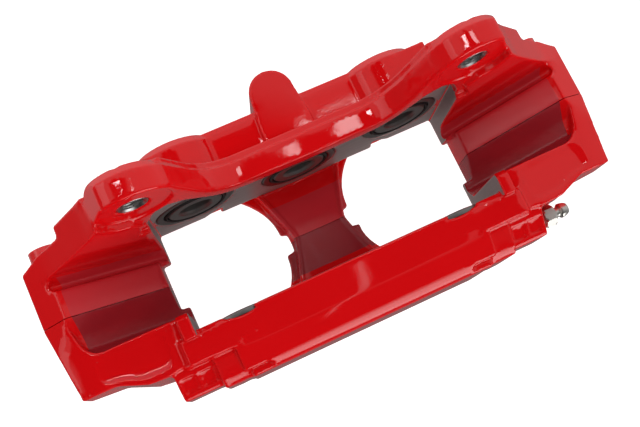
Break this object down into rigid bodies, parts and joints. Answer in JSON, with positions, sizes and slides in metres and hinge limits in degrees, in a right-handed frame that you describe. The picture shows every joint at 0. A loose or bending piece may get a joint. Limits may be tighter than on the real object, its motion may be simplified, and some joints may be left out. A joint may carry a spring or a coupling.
{
  "type": "fixed brake caliper",
  "caption": "Opposed-piston fixed brake caliper with axial mounting lugs, bolted bridge, pad windows, dust boots and bleeder screw, painted red.",
  "frame": {"origin": "on the rest face under the middle of the centre bridge, in the split plane, which is also the disc's middle plane", "axes": "+X along the caliper, +Y to the vehicle side, +Z from the bridge to the wheel hub"},
  "size_m": [0.3196, 0.149, 0.1489],
  "materials": {
    "red_paint": "gloss red paint over cast aluminium",
    "red_fastener": "gloss red paint over steel",
    "piston_metal": "dark anodised, turned",
    "boot_rubber": "matt black moulded rubber",
    "seal_rubber": "matt black rubber",
    "steel": "bright machined steel",
    "zinc_steel": "zinc-plated steel, satin"
  },
  "bodies": {
    "caliper_body": {"inboard_half": "red_paint", "outboard_half": "red_paint", "boot_in_left": "boot_rubber", "boot_in_middle": "boot_rubber", "boot_in_right": "boot_rubber", "boot_out_left": "boot_rubber", "boot_out_middle": "boot_rubber", "boot_out_right": "boot_rubber", "pressure_seals": "seal_rubber", "end_bridge_bolts": "red_fastener", "centre_bridge_bolts": "red_fastener", "dowel_pins": "steel", "crossover_seals": "seal_rubber", "lug_inserts": "steel", "gallery_plugs": "red_fastener"},
    "piston_in_left_body": {"piston_in_left": "piston_metal"},
    "piston_in_middle_body": {"piston_in_middle": "piston_metal"},
    "piston_in_right_body": {"piston_in_right": "piston_metal"},
    "piston_out_left_body": {"piston_out_left": "piston_metal"},
    "piston_out_middle_body": {"piston_out_middle": "piston_metal"},
    "piston_out_right_body": {"piston_out_right": "piston_metal"},
    "bleeder_body": {"bleeder_screw": "zinc_steel"}
  },
  "joints": [
    {"name": "piston_in_left_slide", "type": "slide", "parent": "caliper_body", "child": "piston_in_left_body", "axis": [0, -1, 0], "range_m": [0, 0.01]},
    {"name": "piston_in_middle_slide", "type": "slide", "parent": "caliper_body", "child": "piston_in_middle_body", "axis": [0, -1, 0], "range_m": [0, 0.01]},
    {"name": "piston_in_right_slide", "type": "slide", "parent": "caliper_body", "child": "piston_in_right_body", "axis": [0, -1, 0], "range_m": [0, 0.01]},
    {"name": "piston_out_left_slide", "type": "slide", "parent": "caliper_body", "child": "piston_out_left_body", "axis": [0, 1, 0], "range_m": [0, 0.01]},
    {"name": "piston_out_middle_slide", "type": "slide", "parent": "caliper_body", "child": "piston_out_middle_body", "axis": [0, 1, 0], "range_m": [0, 0.01]},
    {"name": "piston_out_right_slide", "type": "slide", "parent": "caliper_body", "child": "piston_out_right_body", "axis": [0, 1, 0], "range_m": [0, 0.01]},
    {"name": "bleeder_turn", "type": "hinge", "parent": "caliper_body", "child": "bleeder_body", "pos_m": [0.109, -0.0535, 0.052], "axis": [1, 0, 0], "range_deg": [0, 180]}
  ]
}
